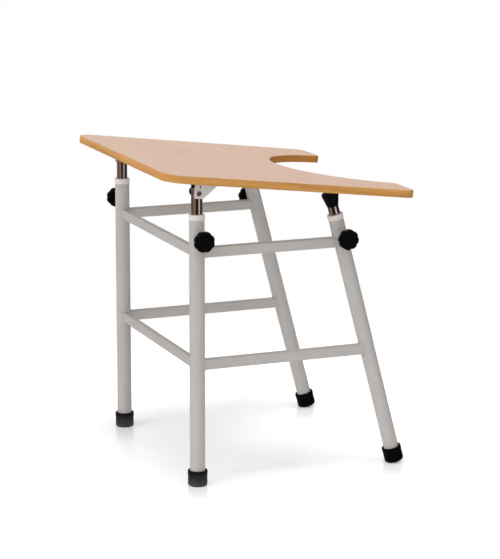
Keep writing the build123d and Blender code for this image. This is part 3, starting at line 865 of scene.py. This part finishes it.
def folded_bracket(name):
    """Sheet made thick, drilled and bevelled; the result becomes the piece's own mesh."""
    points = bracket_sheet(name)
    rows, cols = points.shape[:2]
    a = (np.arange(rows - 1)[:, None] * cols + np.arange(cols - 1)).ravel()
    piece = new_piece(f"folded_bracket_{name}", points, np.stack([a, a + 1, a + cols + 1, a + cols], -1))
    drill = drill_bit(name)
    modifier(piece, "SOLIDIFY", thickness=PLATE * MM, offset=0.0, use_even_offset=True)
    modifier(piece, "BOOLEAN", operation="DIFFERENCE", solver="EXACT", object=drill)
    modifier(piece, "BEVEL", width=EDGE_BREAK * MM, segments=3, limit_method="ANGLE", angle_limit=radians(50))
    graph = bpy.context.evaluated_depsgraph_get()
    mesh = bpy.data.meshes.new_from_object(piece.evaluated_get(graph))
    piece.modifiers.clear()
    piece.data = mesh
    bpy.data.objects.remove(drill)
    open_edges = cleaned(mesh, 1e-6, 35, outward=True)
    print(f"{piece.name}: {len(mesh.polygons)} faces, {open_edges} open edges")
    return piece


for name in SIDES:
    dress(folded_bracket(name), "desktop", f"bracket_{name}")

# %% [markdown]
# ## Outline of the desktop
#
# The board's outline is a chain of straights and arcs that meet without a corner. Beside the
# cut-out the front corners end in small round horns, each an arc tangent to the front line and to
# the large cut-out circle. Every point keeps its outward normal for the edge band.

# %% Board outline
HALF_W, BOARD_REAR, BOARD_FRONT, CUT_R, CUT_AHEAD = 364.0, 110.0, 556.0, 236.0, 6.0
REAR_R, FRONT_R, HORN_R = 48.0, 28.0, 17.0


def arc(centre, radius, start, stop, step=2.5):
    """Points and outward normals on an arc, about step millimetres apart, without its last point."""
    count = max(4, int(abs(stop - start) * radius / step))
    a = np.linspace(start, stop, count, endpoint=False)
    spoke = np.stack([np.cos(a), np.sin(a)], -1)
    return np.array(centre) + radius * spoke, spoke


def straight(first, last, normal, step=20.0):
    """Points on a line without its last point, all with the same outward normal."""
    first, last = np.array(first), np.array(last)
    count = max(2, int(np.linalg.norm(last - first) / step))
    t = np.linspace(0, 1, count, endpoint=False)[:, None]
    return first + (last - first) * t, np.broadcast_to(normal, (count, 2))


def board_outline():
    """Closed outline in board axes, counter-clockwise from the rear left, with outward normals. The
    horn arc is tangent to the front line and to the cut-out, whose centre lies CUT_AHEAD in front of
    that line: its own centre is a horn radius behind the line, and a cut-out radius plus a horn
    radius away from the cut-out's centre."""
    w, f, half_turn = HALF_W, -BOARD_FRONT, np.pi
    rise = HORN_R + CUT_AHEAD
    horn_x = sqrt((CUT_R + HORN_R) ** 2 - rise**2)
    meet = np.arctan2(rise, horn_x)
    runs = [
        straight((-w, BOARD_REAR - REAR_R), (-w, f + FRONT_R), (-1, 0)),
        arc((-w + FRONT_R, f + FRONT_R), FRONT_R, half_turn, 1.5 * half_turn),
        straight((-w + FRONT_R, f), (-horn_x, f), (0, -1)),
        arc((-horn_x, f + HORN_R), HORN_R, 1.5 * half_turn, 2 * half_turn - meet, 1.2),
    ]
    cut_points, spokes = arc((0, f - CUT_AHEAD), CUT_R, half_turn - meet, meet, 4.0)
    runs.append((cut_points, -spokes))
    runs += [
        arc((horn_x, f + HORN_R), HORN_R, half_turn + meet, 1.5 * half_turn, 1.2),
        straight((horn_x, f), (w - FRONT_R, f), (0, -1)),
        arc((w - FRONT_R, f + FRONT_R), FRONT_R, -half_turn / 2, 0),
        straight((w, f + FRONT_R), (w, BOARD_REAR - REAR_R), (1, 0)),
        arc((w - REAR_R, BOARD_REAR - REAR_R), REAR_R, 0, half_turn / 2),
        straight((w - REAR_R, BOARD_REAR), (-w + REAR_R, BOARD_REAR), (0, 1)),
        arc((-w + REAR_R, BOARD_REAR - REAR_R), REAR_R, half_turn / 2, half_turn),
    ]
    return np.concatenate([p for p, n in runs]), np.concatenate([n for p, n in runs])


def travelled(points):
    """Distance from the first point to every point of a closed line, and last the way round."""
    return np.concatenate([[0], np.cumsum(np.linalg.norm(np.roll(points, -1, 0) - points, axis=1))])


outline, outward = board_outline()
print("outline", len(outline), "points,", round(float(travelled(outline)[-1])), "mm round")

# %% [markdown]
# ## Edge band
#
# A strip of orange beech is glued right round the board, through the cut-out as well. It is a thin
# profile carried along the outline: at each point of the path, the profile's first number is laid
# off along the inward normal and its second one upwards. The arrises are rounded as a trimmer
# leaves them. Along the cut-out the strip's colour is multiplied by a darker tint, a painted shade.

# %% Edge band
CUT_MARGIN = 12.0


def band_profile():
    """(depth inwards, height above the board's underside) of the strip, arrises rounded."""
    t, depth = BOARD_THICKNESS, 1.56
    return rounded([(0.75, 0, 0), (0, 0, 0.9), (0, t, 0.9), (depth, t, 0.10), (depth, 0, 0.10),
                    (0.75, 0, 0)], 5)[:-1]


def painted_shade_run(finish, start, stop, tint):
    """Painted shade: multiply the colour by a darker tint between two unrolled distances in metres, with soft
    ends.
    """
    tree = finish.node_tree
    colour = tree.nodes["Principled BSDF"].inputs["Base Color"]
    run = add(tree, "SeparateXYZ", {"Vector": add(tree, "TexCoord").outputs["UV"]}).outputs["X"]
    inside = calc(tree, "MULTIPLY", span(tree, run, start - 0.004, start + 0.006, 0.0, 1.0),
                  span(tree, run, stop - 0.006, stop + 0.004, 1.0, 0.0))
    tree.links.new(blend(tree, inside, colour.links[0].from_socket, tint, "MULTIPLY"), colour)


profile = band_profile()
inward = outline - outward * profile[:, None, :1]
height = np.broadcast_to(PIVOT_TO_BOARD + profile[:, None, 1:], (*inward.shape[:2], 1))
distance, girth = travelled(outline) * MM, travelled(profile) * MM
band = surface("rounded_edge_band", placed(np.concatenate([inward, height], -1), BOARD_AXES), loop=True,
               uv=(distance, girth))
dress(band, "desktop", "desktop_edge_band")
from_cut = np.hypot(outline[:, 0], outline[:, 1] + BOARD_FRONT + CUT_AHEAD) - CUT_R
hollow = distance[:-1][from_cut < CUT_MARGIN]
# Painted shade: along the cut-out the band's colour is multiplied by this darker tint.
painted_shade_run(FINISH["edge_band"], hollow.min(), hollow.max(), (0.79, 0.67, 0.40))
print("darker in the cut-out from", round(float(hollow.min()), 3), "to", round(float(hollow.max()), 3), "m")

# %% [markdown]
# ## Sections that are welded on
#
# Square tubes, flat tubes and round bosses are welded to the round legs before painting. A bead
# follows each one's outline, which is a rectangle with rounded corners; a boss is the same with
# corners as large as it can have them. The points are spaced evenly by the distance travelled.

# %% Outline of a section
def section_outline(height, width, corner, count=240):
    """Rounded rectangle by arc length: points (across, up) and outward normals."""
    h, w = height / 2 - corner, width / 2 - corner
    a = np.linspace(0, np.pi / 2, 8)
    a = np.concatenate([a + quarter * np.pi / 2 for quarter in range(4)])
    n = np.stack([np.cos(a), np.sin(a)], -1)
    p = np.repeat([(w, h), (-w, h), (-w, -h), (w, -h)], 8, axis=0) + corner * n
    run = travelled(p)
    at = np.linspace(0, run[-1], count, endpoint=False)
    pick = [np.interp(at, run, np.concatenate([v, v[:1]])[:, k]) for v in (p, n) for k in (0, 1)]
    return np.stack(pick[:2], -1), np.stack(pick[2:], -1)


SQUARE, FLAT = section_outline(25, 25, 3), section_outline(25, 15, 3)
ROUND = section_outline(16, 16, 7.999, 120)
print("outlines of", len(SQUARE[0]), "and", len(ROUND[0]), "points")

# %% [markdown]
# ## Weld bead along a seam
#
# The seam is the outline pushed along the tube's axis until it touches the leg, which is one square
# root for all points at once. A small ripple in the bead's radius gives the row of drops that a
# welder leaves under the paint.

# %% Weld bead
WELD_DEPTH, RIPPLE, RIPPLE_LENGTH = 1.2, 0.09, 2.2


def square_to(vectors, axis):
    """What is left of the vectors when their share along the axis is taken off."""
    return vectors - (vectors @ axis)[..., None] * axis


def weld_bead(base, toward, across, up, section, leg, bead=1.9, ring=10):
    """Seam of a section meeting a leg, then a ring of small circles along it.

    Each section point S moves by k along the direction toward until its distance from the leg's
    axis is the leg's radius: |m + k d| = R with m and d taken square to the axis, so k = -m.d / d.d
    - sqrt((m.d)^2 - d.d (m.m - R^2)) / d.d. The bead's circle lies in the plane of the section's
    normal and the leg's normal, and its radius ripples every 2.2 mm along the seam. Points deeper
    than 1.2 mm below the leg's surface are moved out to that depth, so that the bead stays in the
    tube's wall and the inner tube's guide plug can pass."""
    points, normals = section
    origin, along = leg[0], leg[3]
    s = base + points @ np.array([across, up])
    n = normals @ np.array([across, up])
    m, d = square_to(s - origin, along), square_to(toward, along)
    md, dd = m @ d, d @ d
    k = (-md - np.sqrt(md**2 - dd * ((m * m).sum(1) - LEG_R**2))) / dd
    seam = s + k[:, None] * toward
    radial = unit(m + k[:, None] * d)
    run = travelled(seam)[1:]
    waves = max(1, round(run[-1] / RIPPLE_LENGTH))
    r = bead * (1 + RIPPLE * np.cos(run / run[-1] * waves * 2 * np.pi))
    second = unit(radial - (radial * n).sum(1)[:, None] * n)
    a = round_angles(ring)[:, None, None]
    bead_points = seam + 0.15 * n + (np.cos(a) * n + np.sin(a) * second) * r[:, None]
    away = square_to(bead_points - origin, along)
    reach = np.linalg.norm(away, axis=-1, keepdims=True)
    return bead_points + away / reach * np.maximum(LEG_R - WELD_DEPTH - reach, 0.0)


print("ripple every", RIPPLE_LENGTH, "mm")

# %% [markdown]
# ## Weld the rails and the bosses
#
# Each side has six rail seams, at both ends of its two side rails and at one end of each rear rail,
# and two boss seams. A boss's outline starts well outside and is pushed in to its leg.

# %% Welds
RAIL_HEIGHTS, OUTSIDE = (593.0, 310.0), 60.0
REARWARD = np.array([0.0, 1.0, 0.0])
for name, side in SIDES.items():
    rear, front = axes_of_leg(name, "rear"), axes_of_leg(name, "front")
    beads = []
    for height in RAIL_HEIGHTS:
        middle = np.array([side * LEG_X, 0.0, height])
        beads.append(weld_bead(middle, REARWARD, ACROSS, UP, SQUARE, rear))
        beads.append(weld_bead(middle, -REARWARD, ACROSS, UP, SQUARE, front))
        base = np.array([0.0, REAR_Y, height])
        beads.append(weld_bead(base, side * ACROSS, REARWARD, UP, FLAT, rear))
    dress(surface(f"rail_welds_{name}", np.stack(beads), loop=True, crease=60), "frame", slot="frame_paint")
    bosses = []
    for end in ("rear", "front"):
        at, along, around, out = clamp_axes(name, end)
        leg = axes_of_leg(name, end)
        bosses.append(weld_bead(at + OUTSIDE * out, -out, around, along, ROUND, leg, bead=1.3))
    dress(surface(f"boss_welds_{name}", np.stack(bosses), loop=True, crease=60), "frame", slot="frame_paint")

# %% [markdown]
# ## Room seen in reflections
#
# The photograph is a studio shot on a white sweep. Polished metal tells more: a chromed tube
# mirrors the whole room round the table. The sweep lies behind the table; the other sides are a
# brownish wall, a dark hall and one narrow bright window. They are written as a ring of colours by
# the direction from the table.

# %% Room seen in reflections
ROOM_RING = [(0.000, (0.20, 0.125, 0.10)), (0.032, (0.20, 0.125, 0.10)), (0.050, (0.95, 0.95, 0.95)),
             (0.082, (0.95, 0.95, 0.95)), (0.100, (0.15, 0.09, 0.07)), (0.220, (0.21, 0.125, 0.10)),
             (0.360, (0.38, 0.25, 0.215)), (0.395, (0.022, 0.011, 0.009)), (0.515, (0.030, 0.018, 0.015)),
             (0.550, (0.80, 0.70, 0.68)), (0.600, (0.80, 0.70, 0.68)), (0.635, (0.025, 0.015, 0.013)),
             (0.900, (0.035, 0.024, 0.021)), (0.925, (0.90, 0.90, 0.90)), (0.960, (0.90, 0.90, 0.90)),
             (0.985, (0.20, 0.125, 0.10))]
NEAR_RING = ROOM_RING[:2] + ROOM_RING[4:]       # the same without the white screen at 0.050 to 0.082


def room_ring(tree, where, stops=ROOM_RING):
    """Colour by compass direction: the angle of (x, y) as a share of a turn, read on the ring."""
    axis = add(tree, "SeparateXYZ", {"Vector": where}).outputs
    share = calc(tree, "MULTIPLY_ADD", calc(tree, "ARCTAN2", axis["Y"], axis["X"]), 1 / (2 * np.pi), 1.0)
    return ramp(tree, calc(tree, "FRACT", share), *stops)


print("ring of", len(ROOM_RING), "stops")

# %% [markdown]
# ## One look for each kind of ray
#
# Light Path tells a shader what kind of ray meets it. So the floor and the world have one look for
# the eye, plain white with a soft shadow, and one for reflections, the ring. A third one, for all
# other light, is even and pale.

# %% Looks by ray
def glow(tree, colour, strength=1.0, kind="Emission"):
    """Shader that shines in a colour by itself; a world needs the kind Background."""
    return add(tree, kind, {"Color": rgba(colour), "Strength": strength}).outputs[0]


def mixed(tree, factor, first, second):
    """Mix of two shaders."""
    return add(tree, "MixShader", {0: factor, 1: first, 2: second}).outputs[0]


def by_ray(tree, light, mirrored, seen, output):
    """One look for plain light, one for reflections and one for the camera."""
    path = add(tree, "LightPath").outputs
    look = mixed(tree, path["Is Glossy Ray"], light, mirrored)
    look = mixed(tree, path["Is Camera Ray"], look, seen)
    tree.links.new(look, tree.nodes[output].inputs["Surface"])


print("ray helpers ready")

# %% [markdown]
# ## Floor
#
# The sweep is a wide disc. Its white shows the table's shadow, and beside each rubber tip a short
# soft reflection, as a wiped studio floor does, with painted shade from a glow lowered there.
# Farther off it is plain white like the background, so no horizon shows.

# %% Floor
def floor_disc(radius=60000.0):
    """Rings of points whose radius grows by a constant factor, closed in the middle by a pole, and
    a second layer 20 mm lower that closes the disc."""
    r = np.concatenate([[0], np.geomspace(400, radius, 14)])
    top = turned(np.stack([r, np.full(len(r), 0.0)], -1), 64)
    low = turned(np.stack([r[::-1], np.full(len(r), -20.0)], -1), 64)
    return np.concatenate([top, low]) - np.array([0, 0, 0.05])


def feet_nearness(tree, where):
    """1 beside a tip and 0 from 0.18 m on, by the distance to the nearest of the four tips:
    min over the rear and the front tip of |(|x|, y) - tip|."""
    axis = add(tree, "SeparateXYZ", {0: where}).outputs
    spot = add(tree, "CombineXYZ", {0: calc(tree, "ABSOLUTE", axis["X"]), 1: axis["Y"]}).outputs[0]
    rear, front = [add(tree, "VectorMath", {0: spot, 1: (LEG_X * MM, y * MM, 0)},
                       operation="DISTANCE").outputs["Value"] for y in (REAR_Y, FRONT_Y)]
    return span(tree, calc(tree, "MINIMUM", rear, front), 0.06, 0.18, 1.0, 0.0)


def floor_finish(lift, sheen=0.12, polish=0.21, tip_painted_shade=0.035):
    """For the camera, matt white with a weak sheen, a short soft reflection at each tip and a lift
    near the table, lowered a little beside each tip as painted shade, and plain white farther off.
    For reflections, the room's ring beyond a small patch, with its white screen only beyond four
    metres. For all other light, matt white."""
    white, pale = (1, 1, 1), (0.93, 0.93, 0.93)
    finish, tree, bsdf = shader("seamless white floor", pale, 1.0, Specular_IOR_Level=0.0)
    where = add(tree, "TexCoord").outputs["Object"]
    away = add(tree, "VectorMath", {0: where}, operation="LENGTH").outputs["Value"]
    near = feet_nearness(tree, where)
    matt = add(tree, "BsdfDiffuse", {"Color": rgba(white)}).outputs[0]
    dull, bright = [add(tree, "BsdfGlossy", {"Color": rgba(white), "Roughness": rough}).outputs[0]
                    for rough in (0.30, 0.15)]
    seen = mixed(tree, sheen, matt, dull)
    seen = mixed(tree, span(tree, near, 0.0, 1.0, 0.0, polish), seen, bright)
    # Beside each tip the glow is lowered a little, which paints shade on the floor round the tips.
    lifted = glow(tree, (0.96, 0.99, 1.04), span(tree, near, 0.0, 1.0, lift, lift - tip_painted_shade))
    seen = add(tree, "AddShader", {0: seen, 1: lifted}).outputs[0]
    seen = mixed(tree, span(tree, away, 0.9, 1.4, 0.0, 1.0), seen, glow(tree, white))
    ring = blend(tree, span(tree, away, 4.0, 5.2, 0.0, 1.0), room_ring(tree, where, NEAR_RING),
                 room_ring(tree, where))
    ring = blend(tree, span(tree, away, 0.30, 0.60, 0.0, 1.0), (0.75, 0.75, 0.75), ring)
    by_ray(tree, bsdf.outputs[0], glow(tree, ring), seen, "Material Output")
    return finish


floor = surface("studio_floor", floor_disc())
floor.data.materials.append(floor_finish(0.24))

# %% [markdown]
# ## Light
#
# Five broad soft lamps and an even pale room. The one overhead draws the short soft shadow under
# the table, the one behind the left corner lights the rear edge and the bracket, a low one straight
# behind lights the rear rails, and two from the near side keep the left faces of the legs pale. Sun
# lamps with a wide angle are used, because they light the floor evenly out to its end.

# %% World and lamps
def room_light(strength):
    """Even pale room for the light, plain white for the camera, and the ring for reflections, which
    fades into a grey ceiling."""
    world = bpy.data.worlds.new("pale room")
    world.use_nodes = True
    tree = world.node_tree
    room = tree.nodes["Background"]
    room.inputs["Color"].default_value = (0.97, 0.985, 1.0, 1)
    room.inputs["Strength"].default_value = strength
    where = add(tree, "TexCoord").outputs["Generated"]
    rise = add(tree, "SeparateXYZ", {"Vector": where}).outputs["Z"]
    ring = blend(tree, span(tree, rise, 0.45, 0.75, 0.0, 1.0), room_ring(tree, where), (0.45, 0.45, 0.45))
    by_ray(tree, room.outputs[0], glow(tree, ring, kind="Background"),
           glow(tree, (1, 1, 1), kind="Background"), "World Output")
    bpy.context.scene.world = world


def soft_sun(name, toward, strength, spread, colour, mirrored=True):
    """Very wide, even lamp from one direction, so that the floor is lit evenly far round. One that
    isn't mirrored gives no glare on the desktop or the floor."""
    light = bpy.data.lights.new(name, "SUN")
    light.energy, light.angle, light.color = strength, radians(spread), colour
    lamp = bpy.data.objects.new(name, light)
    lamp.rotation_euler = Vector(toward).to_track_quat("Z", "Y").to_euler()
    lamp.visible_glossy = mirrored
    bpy.context.scene.collection.objects.link(lamp)


WARM = (1.0, 0.985, 0.965)
room_light(0.36)
soft_sun("overhead softbox", (-0.09, -0.01, 1.0), 1.26, 26, (1.0, 0.99, 0.975))
soft_sun("side softbox", (-0.36, 1.0, 0.60), 0.90, 32, WARM, mirrored=False)
soft_sun("rear softbox", (0.25, 1.0, 0.35), 0.40, 40, WARM, mirrored=False)
soft_sun("near softbox", (-1.0, 0.2, 0.90), 0.34, 60, WARM)
soft_sun("low softbox", (-1.0, 0.10, 0.12), 0.32, 40, (1.0, 0.985, 0.975))

# %% [markdown]
# ## Camera
#
# The viewpoint was worked out from the table's own edges in the photograph: the camera stands five
# metres away, a little behind the left side, and looks down by twelve degrees. Its direction is
# built from two angles, and the small roll is a turn round that direction.

# %% Camera
def photo_camera(place, yaw, pitch, roll, focal_pixels, long_side=559, sensor=36.0):
    """Camera whose view direction is (cos yaw cos pitch, -sin yaw cos pitch, -sin pitch)."""
    look = np.array([cos(yaw) * cos(pitch), -sin(yaw) * cos(pitch), -sin(pitch)])
    right = np.array([-sin(yaw), -cos(yaw), 0.0])
    top = np.cross(right, look)
    right, top = cos(roll) * right + sin(roll) * top, cos(roll) * top - sin(roll) * right
    data = bpy.data.cameras.new("photo camera")
    data.sensor_width = sensor
    data.lens = focal_pixels * sensor / long_side
    camera = bpy.data.objects.new("photo camera", data)
    camera.matrix_world = Matrix([*np.column_stack([right, top, -look, place]).tolist(), [0, 0, 0, 1]])
    bpy.context.scene.collection.objects.link(camera)
    bpy.context.scene.camera = camera
    print("lens", round(data.lens, 2), "mm")


photo_camera((-5.0181, 2.0010, 1.6250), 0.38355, 0.21421, 0.00203, 2109.88)
bpy.context.scene.view_settings.view_transform = "Standard"
